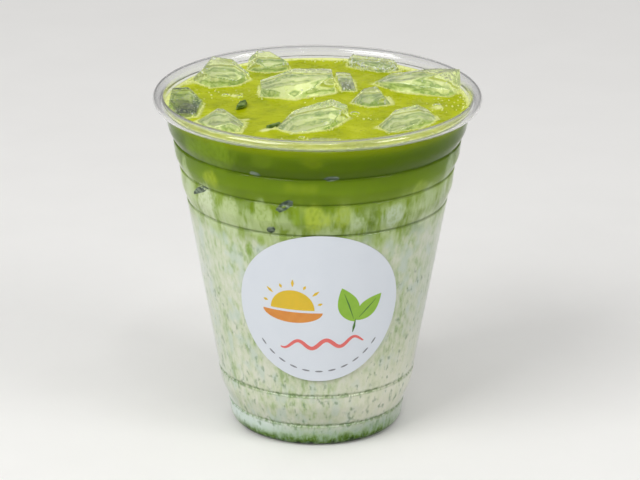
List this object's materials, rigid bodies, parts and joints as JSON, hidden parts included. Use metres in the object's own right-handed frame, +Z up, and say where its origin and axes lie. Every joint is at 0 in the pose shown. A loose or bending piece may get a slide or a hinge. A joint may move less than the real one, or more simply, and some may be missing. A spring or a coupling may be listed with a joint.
{
  "type": "iced matcha latte in a clear take-away cup",
  "caption": "Iced matcha latte in a clear, tapered take-away cup with a rolled lip: milk below, green matcha above, broken ice standing out of the top and a round paper label.",
  "frame": {"origin": "centre of the cup's foot, on the surface it stands on", "axes": "+Z up through the middle of the cup; the label faces -Y; +X is to the right as the label is read"},
  "size_m": [0.098, 0.098, 0.107],
  "materials": {
    "clear_plastic": "thin clear plastic sheet, smooth and glossy",
    "milk": "wet and milky with fine green streaks",
    "matcha": "wet, opaque yellow-green with darker specks and a few bubbles",
    "ice": "clear ice with broken faces and trapped bubbles",
    "label_paper": "smooth satin paper with simple printed shapes"
  },
  "bodies": {
    "root": {"cup": "clear_plastic", "milk_layer": "milk", "matcha_layer": "matcha", "label": "label_paper", "ice_far_left": "ice", "ice_left_front": "ice", "ice_left_back": "ice", "ice_back_left": "ice", "ice_centre": "ice", "ice_front": "ice", "ice_back_small": "ice", "ice_back_right": "ice", "ice_right_long": "ice", "ice_mid_right": "ice", "ice_right_front": "ice", "ice_front_sliver": "ice"}
  },
  "joints": []
}
